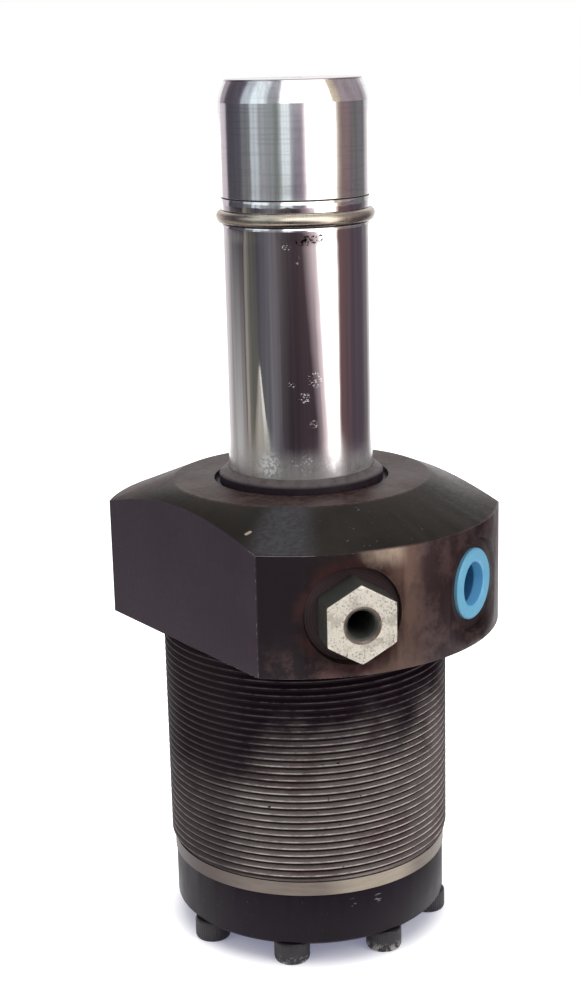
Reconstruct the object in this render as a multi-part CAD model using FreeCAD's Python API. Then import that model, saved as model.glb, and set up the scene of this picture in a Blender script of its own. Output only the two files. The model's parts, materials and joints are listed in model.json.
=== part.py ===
import FreeCAD, Part
import math
import os

from FreeCAD import Placement, Rotation, Vector

# Swing clamp cylinder, in millimetres.
# The origin is on the cylinder's axis at the head's seating face, with +Z up the plunger.
# The wrench flats face -X and +X, and the ports open towards -Y, either side of it.

# Cylinder bore, and the gland above it
bore_radius = 22.225
bore_top = 15.5
bore_lead_in = 0.8
land_height = 0.9
seal_section = 3.2
seal_height = 3.6
wiper_seat_height = 3.3
wiper_seat_width = 3.425
wiper_foot_height = 2.2
wiper_lip_width = 2.225
wiper_lip_rise = 1.4
wiper_tip_rise = 2.6

# Threaded barrel, its wall measured to the thread's major diameter
barrel_wall = 9.525
barrel_length = 54.4
thread_chamfer = 1.0
pilot_length = 3.1
pilot_step = 0.65

# Head. The seat is its overhang past the thread, and the flats are a small step out from it
seat_width = 11.75
flat_step = 0.92
rim_height = 25.9
head_height = 32.1
crown_radius = 28.3

# Plunger
rod_radius = 15.875
plunger_top = 117.6
nose_chamfer_height = 4.7
nose_chamfer_depth = 1.45
centre_mark_radius = 2.4
shoulder_height = 14.3
spud_radius = 12.7
spindle_bore_overrun = 2.0
stroke = 38.1
swing_angle = 90.0

# Wire ring on the plunger
ring_height = 89.3
ring_wire_radius = 1.4
ring_sink = 0.275
ring_gap_angle = 24.0
ring_gap_azimuth = 150.0

# Piston
piston_length = 12.0
piston_crown_step = 3.225
piston_crown_height = 3.2
piston_land = 0.9
piston_seal_height = 3.4
piston_seal_depth = 3.3
slipper_thickness = 1.3
wear_ring_height = 2.6
wear_ring_thickness = 1.5
wear_ring_split = 2.0
piston_o_ring_wire = 0.9

# Balls, and the nut that closes their pockets
ball_radius = 3.175
ball_count = 3
ball_drop = 6.0
ball_nut_radius = 17.4
ball_nut_length = 9.7
ball_nut_slot_width = 4.0
ball_nut_slot_depth = 2.2
ball_nut_slot_count = 4

# Cam spindle
spindle_radius = 8.0
spindle_rise = 5.2
spindle_tip_chamfer = 1.0
spindle_flange_radius = 11.0
spindle_flange_height = 3.0
spindle_neck_radius = 7.0
spindle_neck_length = 6.0
spindle_tail_radius = 4.7625
spindle_tail_reserve = 0.2
groove_clearance = 0.22
groove_overrun = 0.4
spindle_o_ring_wire = 0.9
dowel_radius = 1.0
dowel_length = 8.0
dowel_sink = 0.4
spindle_nut_across_flats = 14.2875
spindle_nut_height = 5.5
spindle_washer_thickness = 1.0
spindle_washer_margin = 1.6

# End cap
cap_step = 0.85
cap_thickness = 12.0
cap_lower_chamfer = 0.7
spigot_length = 7.4
cap_o_ring_wire = 1.1
backup_ring_height = 1.2
cap_groove_land = 1.3
nut_recess_radius = 11.0
nut_recess_depth = 7.0

# Cap screws
screw_count = 8
screw_edge_distance = 4.25
screw_radius = 2.413
screw_length = 22.2
screw_head_radius = 3.96
screw_head_height = 4.83
screw_head_break = 0.5
screw_key_across_flats = 3.97
screw_key_depth = 2.4
screw_hole_overrun = 2.5

# Ports
port_azimuth = 22.5
port_height = 12.8
port_face_sink = 2.0
port_face_radius = 10.3
port_thread_radius = 5.56
port_mouth_radius = 6.2
port_mouth_depth = 2.1
port_depth = 12.0
drill_point_angle = 118.0
drill_web = 0.3
clamp_passage_radius = 1.5

# Wall passage from the unclamp port to the lower end of the bore
passage_radius = 1.6
passage_inlet_radius = 2.0
passage_edge_distance = 4.75
passage_slot_radius = 1.5
passage_plug_length = 4.0

# Adapter in the clamp port
adapter_across_flats = 14.2875
adapter_hex_length = 8.2
adapter_hex_chamfer = 0.5
adapter_relief_radius = 4.85
adapter_relief_length = 2.2
adapter_shank_length = 8.6
adapter_bore_radius = 2.85
adapter_mouth_radius = 3.75
adapter_mouth_depth = 0.9

# Shipping plug in the unclamp port
plug_flange_radius = 7.65
plug_flange_thickness = 1.0
plug_length = 9.0
plug_wall = 0.8
plug_end_wall = 1.0
plug_taper = 0.35
plug_rim_round = 0.35

# Small rings and edges that repeat
groove_half_width_ratio = 1.3
wire_sides = 8
groove_sides = 8
small_edge = 0.3
nut_edge = 0.6

# Clearances, on the radius
running_clearance = 0.05
seat_clearance = 0.03
bore_clearance = 0.12
lip_clearance = 0.08
thread_clearance = 0.03
screw_clearance = 0.2
end_clearance = 0.3

# Places that follow from the sizes above
thread_radius = bore_radius + barrel_wall
thread_length = barrel_length - pilot_length
pilot_radius = thread_radius - pilot_step
head_radius = thread_radius + seat_width
flat_distance = thread_radius + flat_step
port_face_distance = head_radius - port_face_sink
passage_circle_radius = thread_radius - passage_edge_distance
screw_circle_radius = thread_radius - screw_edge_distance
cap_radius = thread_radius - cap_step
piston_crown_radius = bore_radius - piston_crown_step
wiper_recess_radius = rod_radius + wiper_seat_width
wiper_lip_radius = rod_radius + wiper_lip_width
ring_centre_radius = rod_radius - ring_sink
spindle_bore_radius = spindle_radius + end_clearance
wiper_floor = head_height - wiper_seat_height
seal_ceiling = wiper_floor - land_height
bearing_top = seal_ceiling - seal_height
gland_radius = rod_radius + seal_section
land_radius = rod_radius + end_clearance
piston_bottom = shoulder_height - piston_length
ball_height = piston_bottom - ball_drop
plunger_bottom = piston_bottom - ball_nut_length
ball_circle = spud_radius - seat_clearance - ball_radius
spindle_top = ball_height + spindle_rise
spindle_base = spigot_length - barrel_length
cap_bottom = -barrel_length - cap_thickness
nut_recess_ceiling = cap_bottom + nut_recess_depth
spindle_bore_top = spindle_top + stroke + spindle_bore_overrun
slot_height = spindle_base + passage_slot_radius + end_clearance
port_floor_distance = port_face_distance - port_depth
hex_ratio = 2 / math.sqrt(3)

up = Vector(0, 0, 1)
origin = Vector(0, 0, 0)


def lathe(profile):
    """A solid of revolution about Z from (radius, height) points."""
    points = [Vector(radius, 0, height) for radius, height in profile]
    face = Part.Face(Part.makePolygon(points + points[:1]))
    return face.revolve(origin, up, 360)


def bar(radius, low, high):
    return Part.makeCylinder(radius, high - low, Vector(0, 0, low))


def tube(inner, outer, low, high):
    return lathe([(inner, low), (outer, low), (outer, high), (inner, high)])


def round_section(centre_radius, wire_radius, height):
    """The section of a round wire or rubber ring, with a few flats in place of a circle."""
    corners = []
    for k in range(wire_sides):
        a = 2 * math.pi * (k + 0.5) / wire_sides
        corners.append(Vector(centre_radius + wire_radius * math.cos(a), 0,
                              height + wire_radius * math.sin(a)))
    return Part.Face(Part.makePolygon(corners + corners[:1]))


def o_ring(inner, wire, height):
    return round_section(inner + wire, wire, height).revolve(origin, up, 360)


def groove_floor(shaft_radius, wire):
    return shaft_radius - 2 * wire + lip_clearance


def ring_groove(shaft_radius, wire, height):
    """Space of an O-ring groove turned into a shaft."""
    half_width = groove_half_width_ratio * wire
    return tube(groove_floor(shaft_radius, wire), shaft_radius + wire,
                height - half_width, height + half_width)


def ring_in_groove(shaft_radius, wire, height):
    """The O-ring for that groove, its outside level with the shaft."""
    return o_ring(groove_floor(shaft_radius, wire), wire - lip_clearance / 2, height)


def hexagon(across_flats, low, high, corner_angle=0):
    """A hexagonal prism with a corner at corner_angle from +X."""
    corner = across_flats / 2 * hex_ratio
    angles = [math.radians(corner_angle + 60 * k) for k in range(7)]
    points = [Vector(corner * math.cos(a), corner * math.sin(a), low) for a in angles]
    return Part.Face(Part.makePolygon(points)).extrude(Vector(0, 0, high - low))


def turned(shape, angle, height=0):
    """A copy of a shape, turned about Z by an angle in degrees and lifted."""
    copy = shape.copy()
    copy.Placement = Placement(Vector(0, 0, height), Rotation(up, angle)).multiply(copy.Placement)
    return copy


def around(shape, count, start=0):
    return [turned(shape, start + 360 * k / count) for k in range(count)]


def at_port(shape, azimuth):
    """Lays a shape made along Z into a port: Z becomes the way out of the head."""
    a = math.radians(azimuth)
    outward = Vector(math.sin(a), -math.cos(a), 0)
    sideways = Vector(math.cos(a), math.sin(a), 0)
    copy = shape.copy()
    copy.Placement = Placement(Vector(0, 0, port_height), Rotation(sideways, up, outward, "ZXY"))
    return copy


def drilled(radius, mouth, floor):
    """A drilled hole's space from its mouth down to its floor, with the drill's blunt point."""
    point = (radius - drill_web) / math.tan(math.radians(drill_point_angle / 2))
    return lathe([(0, floor - point), (drill_web, floor - point), (radius, floor),
                  (radius, mouth), (0, mouth)])


def port_space(azimuth):
    """Spot face, sealing seat and tapped hole of one port."""
    beyond = head_radius + 1
    seat_end = port_face_distance - port_mouth_depth
    face = bar(port_face_radius, port_face_distance, beyond)
    seat = lathe([(0, seat_end), (port_thread_radius, seat_end),
                  (port_mouth_radius, port_face_distance), (0, port_face_distance)])
    hole = drilled(port_thread_radius, seat_end, port_floor_distance)
    return at_port(face.fuse([seat, hole]), azimuth)


def wall_passage_spot():
    a = math.radians(port_azimuth)
    return Vector(passage_circle_radius * math.sin(a), -passage_circle_radius * math.cos(a), 0)


def oil_passages():
    """Radial hole from the clamp port, and the drilled way down the wall from the other one."""
    clamp_way = at_port(bar(clamp_passage_radius, bore_radius - 1, port_floor_distance + 1), -port_azimuth)
    drop = Part.makeCylinder(passage_radius, barrel_length + port_height,
                             wall_passage_spot() - Vector(0, 0, barrel_length))
    inlet_end = passage_circle_radius - passage_inlet_radius
    inlet = at_port(bar(passage_inlet_radius, inlet_end, port_floor_distance + 1), port_azimuth)
    slot = at_port(bar(passage_slot_radius, bore_radius - 1, passage_circle_radius), port_azimuth)
    slot.translate(Vector(0, 0, slot_height - port_height))
    return [clamp_way, drop, inlet, slot]


def screw_places():
    return around(Part.Vertex(screw_circle_radius, 0, 0), screw_count)


def on_screw_circle(shape):
    """Copies of a shape made about Z, one on each screw's axis."""
    copies = []
    for place in screw_places():
        copy = shape.copy()
        copy.translate(place.Point)
        copies.append(copy)
    return copies


def machined_body():
    """Head and barrel as they are turned, milled and drilled from one bar."""
    outline = lathe([
        (0, -barrel_length),
        (pilot_radius, -barrel_length),
        (pilot_radius, -thread_length),
        (thread_radius - thread_chamfer, -thread_length),
        (thread_radius, -thread_length + thread_chamfer),
        (thread_radius, 0),
        (head_radius, 0),
        (head_radius, rim_height),
        (crown_radius, head_height),
        (0, head_height),
    ])
    width = 2 * head_radius + 2
    for side in (-1, 1):
        flat = Part.makeBox(head_radius, width, head_height + 1)
        flat.translate(Vector(-head_radius / 2, -width / 2, 0))
        flat.translate(Vector(side * (flat_distance + head_radius / 2), 0, 0))
        outline = outline.cut(flat)
    gland = lathe([
        (0, -barrel_length - 1),
        (bore_radius + bore_lead_in, -barrel_length - 1),
        (bore_radius + bore_lead_in, -barrel_length),
        (bore_radius, -barrel_length + bore_lead_in),
        (bore_radius, bore_top),
        (gland_radius, bore_top),
        (gland_radius, seal_ceiling),
        (land_radius, seal_ceiling),
        (land_radius, wiper_floor),
        (wiper_recess_radius, wiper_floor),
        (wiper_recess_radius, head_height + 1),
        (0, head_height + 1),
    ])
    tap_depth = screw_length - cap_thickness + screw_hole_overrun
    tapped = bar(screw_radius + thread_clearance, -barrel_length, -barrel_length + tap_depth)
    spaces = [gland] + on_screw_circle(tapped) + oil_passages()
    spaces += [port_space(-port_azimuth), port_space(port_azimuth)]
    return outline.cut(spaces)


def below_seat():
    return bar(head_radius + 1, -barrel_length - 1, 0)


def make_body():
    """The head, down to the face that seats on the fixture."""
    return machined_body().cut(below_seat())


def make_barrel():
    """The threaded barrel, which goes down through the fixture."""
    return machined_body().common(below_seat())


def make_rod_bearing():
    return tube(rod_radius + running_clearance, gland_radius - seat_clearance, bore_top, bearing_top)


def make_rod_seal():
    """U-cup between the bush and the gland's shoulder, open towards the pressure below."""
    inner = rod_radius + lip_clearance
    outer = gland_radius - seat_clearance
    notch = (inner + outer) / 2
    low = bearing_top + seat_clearance
    high = seal_ceiling - seat_clearance
    lip = (outer - inner) / 4
    return lathe([(inner, low), (inner + lip, low), (notch, low + 2 * lip), (outer - lip, low),
                  (outer, low), (outer, high), (inner, high)])


def make_rod_wiper():
    """Press-in scraper: a seated foot, and a lip that stands proud of the crown."""
    inner = rod_radius + lip_clearance
    outer = wiper_recess_radius - seat_clearance
    foot_top = wiper_floor + wiper_foot_height
    shoulder = head_height + wiper_lip_rise
    tip = head_height + wiper_tip_rise
    edge = small_edge
    return lathe([(inner, wiper_floor), (outer, wiper_floor), (outer, foot_top),
                  (wiper_lip_radius, foot_top + edge), (wiper_lip_radius, shoulder - edge),
                  (wiper_lip_radius - edge, shoulder), (inner + edge, tip), (inner, tip)])


def make_plunger():
    mark_depth = centre_mark_radius * math.sqrt(3)
    tip_point = spindle_bore_radius / math.tan(math.radians(drill_point_angle / 2))
    nose_radius = rod_radius - nose_chamfer_depth
    groove_half = ring_wire_radius + seat_clearance
    groove_floor_radius = ring_centre_radius - ring_wire_radius - seat_clearance
    body = lathe([
        (spindle_bore_radius, plunger_bottom),
        (spud_radius - small_edge, plunger_bottom),
        (spud_radius, plunger_bottom + small_edge),
        (spud_radius, shoulder_height),
        (rod_radius, shoulder_height),
        (rod_radius, ring_height - groove_half),
        (groove_floor_radius, ring_height - groove_half),
        (groove_floor_radius, ring_height + groove_half),
        (rod_radius, ring_height + groove_half),
        (rod_radius, plunger_top - nose_chamfer_height),
        (nose_radius, plunger_top),
        (centre_mark_radius, plunger_top),
        (0, plunger_top - mark_depth),
        (0, spindle_bore_top + tip_point),
        (spindle_bore_radius, spindle_bore_top),
    ])
    pocket = Part.makeCylinder(ball_radius + running_clearance, spud_radius + 1,
                               Vector(0, 0, ball_height), Vector(1, 0, 0))
    o_ring_groove = ring_groove(spud_radius, piston_o_ring_wire, piston_o_ring_height())
    return body.cut([o_ring_groove] + around(pocket, ball_count))


def make_wire_ring():
    """Round wire, open by a small gap at the back."""
    section = round_section(ring_centre_radius, ring_wire_radius, ring_height)
    wire = section.revolve(origin, up, 360 - ring_gap_angle)
    return turned(wire, ring_gap_azimuth)


def piston_o_ring_height():
    return piston_bottom + piston_length / 2


def piston_seal_floor():
    return shoulder_height - piston_crown_height - piston_land - piston_seal_height


def wear_ring_floor():
    return piston_bottom + piston_land


def make_piston():
    outer = bore_radius - bore_clearance
    seal_floor_radius = bore_radius - piston_seal_depth
    wear_floor_radius = bore_radius - running_clearance - wear_ring_thickness - seat_clearance
    crown_base = shoulder_height - piston_crown_height
    seal_low = piston_seal_floor()
    wear_low = wear_ring_floor()
    edge = small_edge
    return lathe([
        (spud_radius + running_clearance, piston_bottom),
        (outer, piston_bottom),
        (outer, wear_low),
        (wear_floor_radius, wear_low),
        (wear_floor_radius, wear_low + wear_ring_height),
        (outer, wear_low + wear_ring_height),
        (outer, seal_low),
        (seal_floor_radius, seal_low),
        (seal_floor_radius, seal_low + piston_seal_height),
        (outer, seal_low + piston_seal_height),
        (outer, crown_base),
        (piston_crown_radius, crown_base),
        (piston_crown_radius, shoulder_height - edge),
        (piston_crown_radius - edge, shoulder_height),
        (spud_radius + running_clearance, shoulder_height),
    ])


def make_piston_seal():
    low = piston_seal_floor() + seat_clearance
    high = piston_seal_floor() + piston_seal_height - seat_clearance
    outer = bore_radius - running_clearance
    return tube(outer - slipper_thickness, outer, low, high)


def make_piston_energizer():
    """O-ring squeezed between the groove's floor and the slipper ring."""
    floor = bore_radius - piston_seal_depth
    gap = piston_seal_depth - running_clearance - slipper_thickness
    return o_ring(floor, gap / 2, piston_seal_floor() + piston_seal_height / 2)


def make_piston_wear_ring():
    outer = bore_radius - running_clearance
    low = wear_ring_floor() + seat_clearance
    high = wear_ring_floor() + wear_ring_height - seat_clearance
    band = tube(outer - wear_ring_thickness, outer, low, high)
    split = Part.makeBox(wear_ring_thickness + 2, wear_ring_split, wear_ring_height)
    split.translate(Vector(outer - wear_ring_thickness - 1, -wear_ring_split / 2, wear_ring_floor()))
    return band.cut(split)


def make_piston_o_ring():
    return ring_in_groove(spud_radius, piston_o_ring_wire, piston_o_ring_height())


def make_ball_nut():
    """Slotted round nut under the piston, which also closes the ball pockets."""
    edge = nut_edge
    low = plunger_bottom
    nut = lathe([
        (spud_radius + seat_clearance, low),
        (ball_nut_radius - edge, low),
        (ball_nut_radius, low + edge),
        (ball_nut_radius, piston_bottom - edge),
        (ball_nut_radius - edge, piston_bottom),
        (spud_radius + seat_clearance, piston_bottom),
    ])
    slot = Part.makeBox(ball_nut_slot_depth + 1, ball_nut_slot_width, ball_nut_length)
    slot.translate(Vector(ball_nut_radius - ball_nut_slot_depth, -ball_nut_slot_width / 2, low))
    return nut.cut(around(slot, ball_nut_slot_count, 45))


def make_cam_balls():
    ball = Part.makeSphere(ball_radius, Vector(ball_circle, 0, ball_height))
    return Part.makeCompound(around(ball, ball_count))


def cam_groove():
    """Space that one ball sweeps past the spindle: a helix with the swing over the stroke."""
    lead = stroke * 360 / swing_angle
    cutter = ball_radius + groove_clearance
    low = ball_height - stroke - groove_overrun
    length = spindle_top + 2 * cutter - low
    helix = Part.Wire(Part.makeHelix(lead, length, ball_circle).Edges)
    across = Vector(0, -lead, 2 * math.pi * ball_circle).normalize()
    corner = cutter / math.cos(math.pi / groove_sides)
    section = []
    for k in range(groove_sides + 1):
        a = 2 * math.pi * k / groove_sides
        section.append(Vector(ball_circle + corner * math.cos(a), 0, 0) + across * corner * math.sin(a))
    sweep = helix.makePipeShell([Part.makePolygon(section)], True, True)
    end = Part.makeSphere(cutter, Vector(ball_circle, 0, 0))
    turn_at_low = (low - ball_height) * 360 / lead
    return [turned(shape, turn_at_low, low) for shape in (sweep, end)]


def make_cam_spindle():
    """Guide rod with a ball groove for each ball, a keyed flange, and a tail through the cap."""
    flange_base = spindle_base - spindle_flange_height
    neck_base = flange_base - spindle_neck_length
    tail_end = cap_bottom + spindle_tail_reserve
    tip = spindle_tip_chamfer
    blank = lathe([
        (0, tail_end),
        (spindle_tail_radius - tip / 2, tail_end),
        (spindle_tail_radius, tail_end + tip / 2),
        (spindle_tail_radius, neck_base),
        (spindle_neck_radius, neck_base),
        (spindle_neck_radius, flange_base),
        (spindle_flange_radius, flange_base),
        (spindle_flange_radius, spindle_base),
        (spindle_radius, spindle_base),
        (spindle_radius, spindle_top - tip),
        (spindle_radius - tip, spindle_top),
        (0, spindle_top),
    ])
    o_ring_groove = ring_groove(spindle_neck_radius, spindle_o_ring_wire, spindle_o_ring_height())
    sweep, end = cam_groove()
    spindle = blank.cut([o_ring_groove, dowel_space()])
    for space in around(sweep, ball_count) + around(end, ball_count):
        spindle = spindle.cut(space)
    return spindle


def spindle_o_ring_height():
    return spindle_base - spindle_flange_height - spindle_neck_length / 2


def make_spindle_o_ring():
    return ring_in_groove(spindle_neck_radius, spindle_o_ring_wire, spindle_o_ring_height())


def dowel_circle():
    return (spindle_radius + spindle_flange_radius) / 2


def dowel_at(radius, length):
    top = spindle_base - dowel_sink
    return Part.makeCylinder(radius, length, Vector(0, dowel_circle(), top - length))


def dowel_space():
    """Hole through the flange into the cap, open at its top."""
    hole = dowel_at(dowel_radius + seat_clearance, dowel_length + seat_clearance)
    return hole.fuse(Part.makeCylinder(dowel_radius + seat_clearance, dowel_sink + 1,
                                       Vector(0, dowel_circle(), spindle_base - dowel_sink)))


def make_spindle_dowel():
    return dowel_at(dowel_radius, dowel_length)


def make_spindle_washer():
    outer = nut_recess_radius - spindle_washer_margin
    return tube(spindle_tail_radius + screw_clearance, outer,
                nut_recess_ceiling - spindle_washer_thickness, nut_recess_ceiling)


def make_spindle_nut():
    high = nut_recess_ceiling - spindle_washer_thickness
    low = high - spindle_nut_height
    corner = spindle_nut_across_flats / 2 * hex_ratio
    bevel = corner - spindle_nut_across_flats / 2
    blank = hexagon(spindle_nut_across_flats, low, high)
    rounding = lathe([(0, low), (corner - bevel, low), (corner, low + bevel / 2),
                      (corner, high), (0, high)])
    return blank.common(rounding).cut(bar(spindle_tail_radius + thread_clearance, low, high))


def cap_groove():
    """Height of the spigot groove's floor and ceiling, which holds O-ring and backup ring."""
    high = spindle_base - cap_groove_land
    low = high - 2 * cap_o_ring_wire - backup_ring_height - 4 * seat_clearance
    return low, high


def make_end_cap():
    spigot_radius = bore_radius - running_clearance
    low, high = cap_groove()
    groove_radius = bore_radius - 2 * cap_o_ring_wire
    bevel = cap_lower_chamfer
    small = small_edge
    blank = lathe([
        (0, cap_bottom),
        (cap_radius - bevel, cap_bottom),
        (cap_radius, cap_bottom + bevel),
        (cap_radius, -barrel_length),
        (spigot_radius, -barrel_length),
        (spigot_radius, low),
        (groove_radius, low),
        (groove_radius, high),
        (spigot_radius, high),
        (spigot_radius, spindle_base - small),
        (spigot_radius - small, spindle_base),
        (0, spindle_base),
    ])
    flange_base = spindle_base - spindle_flange_height
    neck_base = flange_base - spindle_neck_length
    spindle_space = lathe([
        (0, cap_bottom - 1),
        (nut_recess_radius, cap_bottom - 1),
        (nut_recess_radius, nut_recess_ceiling),
        (spindle_tail_radius + screw_clearance, nut_recess_ceiling),
        (spindle_tail_radius + screw_clearance, neck_base),
        (spindle_neck_radius + seat_clearance, neck_base),
        (spindle_neck_radius + seat_clearance, flange_base),
        (spindle_flange_radius + seat_clearance, flange_base),
        (spindle_flange_radius + seat_clearance, spindle_base + 1),
        (0, spindle_base + 1),
    ])
    screw_hole = bar(screw_radius + screw_clearance, cap_bottom - 1, -barrel_length + 1)
    return blank.cut([spindle_space, dowel_space()] + on_screw_circle(screw_hole))


def make_cap_o_ring():
    low, high = cap_groove()
    wire = cap_o_ring_wire - seat_clearance
    return o_ring(bore_radius - 2 * cap_o_ring_wire + seat_clearance, wire, low + cap_o_ring_wire)


def make_cap_backup_ring():
    low, high = cap_groove()
    inner = bore_radius - 2 * cap_o_ring_wire + seat_clearance
    return tube(inner, bore_radius - seat_clearance, high - seat_clearance - backup_ring_height,
                high - seat_clearance)


def make_cap_screws():
    """Socket-head screws up through the cap; their heads are the clamp's feet."""
    head_base = cap_bottom - screw_head_height
    bevel = screw_head_break
    screw = lathe([
        (0, head_base),
        (screw_head_radius - bevel, head_base),
        (screw_head_radius, head_base + bevel),
        (screw_head_radius, cap_bottom),
        (screw_radius, cap_bottom),
        (screw_radius, cap_bottom + screw_length),
        (0, cap_bottom + screw_length),
    ])
    key = hexagon(screw_key_across_flats, head_base - 1, head_base + screw_key_depth)
    return Part.makeCompound(on_screw_circle(screw.cut(key)))


def make_clamp_port_adapter():
    """Hexagon adapter with an open bore, one corner up."""
    face = port_face_distance
    front = face + adapter_hex_length
    relief_end = face - adapter_relief_length
    shank_end = relief_end - adapter_shank_length
    shank = port_thread_radius - thread_clearance
    corner = adapter_across_flats / 2 * hex_ratio
    bevel = adapter_hex_chamfer
    head = hexagon(adapter_across_flats, face, front, 90)
    rounding = lathe([(0, face), (corner, face), (corner, front - bevel / 2),
                      (corner - bevel, front), (0, front)])
    stem = lathe([
        (0, shank_end),
        (shank - bevel, shank_end),
        (shank, shank_end + bevel),
        (shank, relief_end),
        (adapter_relief_radius, relief_end),
        (adapter_relief_radius, face),
        (0, face),
    ])
    way = lathe([
        (0, shank_end - 1),
        (adapter_bore_radius, shank_end - 1),
        (adapter_bore_radius, front - adapter_mouth_depth),
        (adapter_mouth_radius, front),
        (adapter_mouth_radius, front + 1),
        (0, front + 1),
    ])
    return at_port(head.common(rounding).fuse(stem).cut(way), -port_azimuth)


def make_adapter_o_ring():
    """Fills the corner between the hexagon, the adapter's relief and the port's coned mouth."""
    cone = math.atan((port_mouth_radius - port_thread_radius) / port_mouth_depth)
    room = (port_mouth_radius - adapter_relief_radius) * math.cos(cone) - seat_clearance
    wire = room / (1 + (1 + math.tan(cone)) * math.cos(cone))
    return at_port(o_ring(adapter_relief_radius, wire, port_face_distance - wire), -port_azimuth)


def make_unclamp_port_plug():
    """Hollow push-in plug with a thin flange that lies on the port's face."""
    face = port_face_distance
    front = face + plug_flange_thickness
    tip = face - plug_length
    mouth = port_thread_radius - running_clearance
    bottom = mouth - plug_taper
    rim = plug_rim_round
    return at_port(lathe([
        (0, tip),
        (bottom - rim, tip),
        (bottom, tip + rim),
        (mouth, face),
        (plug_flange_radius, face),
        (plug_flange_radius, front - rim),
        (plug_flange_radius - rim, front),
        (mouth - plug_wall + rim, front),
        (mouth - plug_wall, front - rim),
        (bottom - plug_wall, tip + plug_end_wall),
        (0, tip + plug_end_wall),
    ]), port_azimuth)


def make_passage_plug():
    spot = wall_passage_spot() - Vector(0, 0, barrel_length)
    return Part.makeCylinder(passage_radius - seat_clearance, passage_plug_length, spot)


makers = {
    "body": make_body,
    "barrel": make_barrel,
    "rod_bearing": make_rod_bearing,
    "rod_seal": make_rod_seal,
    "rod_wiper": make_rod_wiper,
    "plunger": make_plunger,
    "wire_ring": make_wire_ring,
    "piston": make_piston,
    "piston_seal": make_piston_seal,
    "piston_energizer": make_piston_energizer,
    "piston_wear_ring": make_piston_wear_ring,
    "piston_o_ring": make_piston_o_ring,
    "ball_nut": make_ball_nut,
    "cam_balls": make_cam_balls,
    "cam_spindle": make_cam_spindle,
    "spindle_dowel": make_spindle_dowel,
    "spindle_o_ring": make_spindle_o_ring,
    "spindle_washer": make_spindle_washer,
    "spindle_nut": make_spindle_nut,
    "end_cap": make_end_cap,
    "cap_o_ring": make_cap_o_ring,
    "cap_backup_ring": make_cap_backup_ring,
    "cap_screws": make_cap_screws,
    "clamp_port_adapter": make_clamp_port_adapter,
    "adapter_o_ring": make_adapter_o_ring,
    "unclamp_port_plug": make_unclamp_port_plug,
    "passage_plug": make_passage_plug,
}

os.makedirs("parts", exist_ok=True)
for node, make in makers.items():
    shape = make()
    shape.exportStep("parts/" + node + ".step")
    print(node, "solids", len(shape.Solids), "valid", shape.isValid(), "volume", round(shape.Volume, 1))
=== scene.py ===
import json
import math

import bmesh
import bpy
from mathutils import Matrix, Vector

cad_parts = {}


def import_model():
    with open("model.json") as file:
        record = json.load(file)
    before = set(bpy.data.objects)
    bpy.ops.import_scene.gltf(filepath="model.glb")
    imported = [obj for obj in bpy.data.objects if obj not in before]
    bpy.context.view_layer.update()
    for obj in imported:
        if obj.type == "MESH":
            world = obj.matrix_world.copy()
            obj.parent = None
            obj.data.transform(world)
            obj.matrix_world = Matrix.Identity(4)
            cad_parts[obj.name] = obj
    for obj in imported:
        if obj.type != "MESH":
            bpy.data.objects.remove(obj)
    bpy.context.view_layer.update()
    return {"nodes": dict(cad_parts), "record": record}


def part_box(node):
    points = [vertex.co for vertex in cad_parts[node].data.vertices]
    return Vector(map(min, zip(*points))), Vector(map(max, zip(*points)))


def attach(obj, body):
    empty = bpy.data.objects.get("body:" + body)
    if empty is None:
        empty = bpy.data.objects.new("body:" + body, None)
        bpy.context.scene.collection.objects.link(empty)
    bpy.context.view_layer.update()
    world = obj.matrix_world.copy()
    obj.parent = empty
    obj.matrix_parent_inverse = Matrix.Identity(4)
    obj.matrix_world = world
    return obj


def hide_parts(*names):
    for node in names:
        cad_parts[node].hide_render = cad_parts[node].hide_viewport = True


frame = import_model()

nodes = frame["nodes"]
mm = 0.001
degree = math.pi / 180

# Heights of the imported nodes, in metres from the head's seat
head_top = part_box("body")[1].z
nose_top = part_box("plunger")[1].z
ring_height = (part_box("wire_ring")[0].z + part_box("wire_ring")[1].z) / 2
barrel_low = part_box("barrel")[0].z
standing_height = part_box("cap_screws")[0].z

# Head
rim_height = 25.9 * mm
crown_radius = 28.3 * mm
head_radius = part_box("body")[1].y
flat_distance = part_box("body")[1].x
head_edge_round = 0.55 * mm
small_edge_round = 0.2 * mm

# Plunger
rod_radius = 15.875 * mm
nose_chamfer_height = 4.7 * mm
nose_edge_round = 0.3 * mm
nose_first_tilt = 9 * degree
nose_last_tilt = 25 * degree
centre_mark_radius = 2.4 * mm
centre_mark_depth = 2.4 * mm
scribe_height = 93.3 * mm
scribe_width = 0.28 * mm
scribe_depth = 0.2 * mm
strip_top_fall = 0.9 * mm
strip_top_depth = 0.11 * mm
groove_depth = 1.75 * mm
groove_half_width = 1.43 * mm
groove_edge_round = 0.4 * mm
groove_shoulder_round = 2.5 * mm
groove_shoulder_tilt = 14 * degree
strip_low_depth = 0.035 * mm
edge_support = 0.05 * mm
shaft_cut_height = 20 * mm
spindle_bore_radius = 8.3 * mm
spindle_bore_top = 41.6 * mm
spindle_bore_point = 5.0 * mm
end_rim_radius = 13.2 * mm

# Wire ring
wire_radius = 1.4 * mm
wire_centre_radius = 15.6 * mm
wire_gap_azimuth = 150 * degree
wire_gap_angle = 24 * degree

# Barrel with its thread, and end cap
thread_radius = 31.75 * mm
thread_pitch = 1.5875 * mm
thread_depth = 0.974 * mm
thread_length = 51.3 * mm
thread_relief = 1.6 * mm
band_top = -thread_length
pilot_radius = 31.1 * mm
crest_share = 0.125
flank_share = 0.354
sleeve_inner_radius = 30.0 * mm
sleeve_lap = 0.1 * mm
cap_radius = 30.9 * mm

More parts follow.
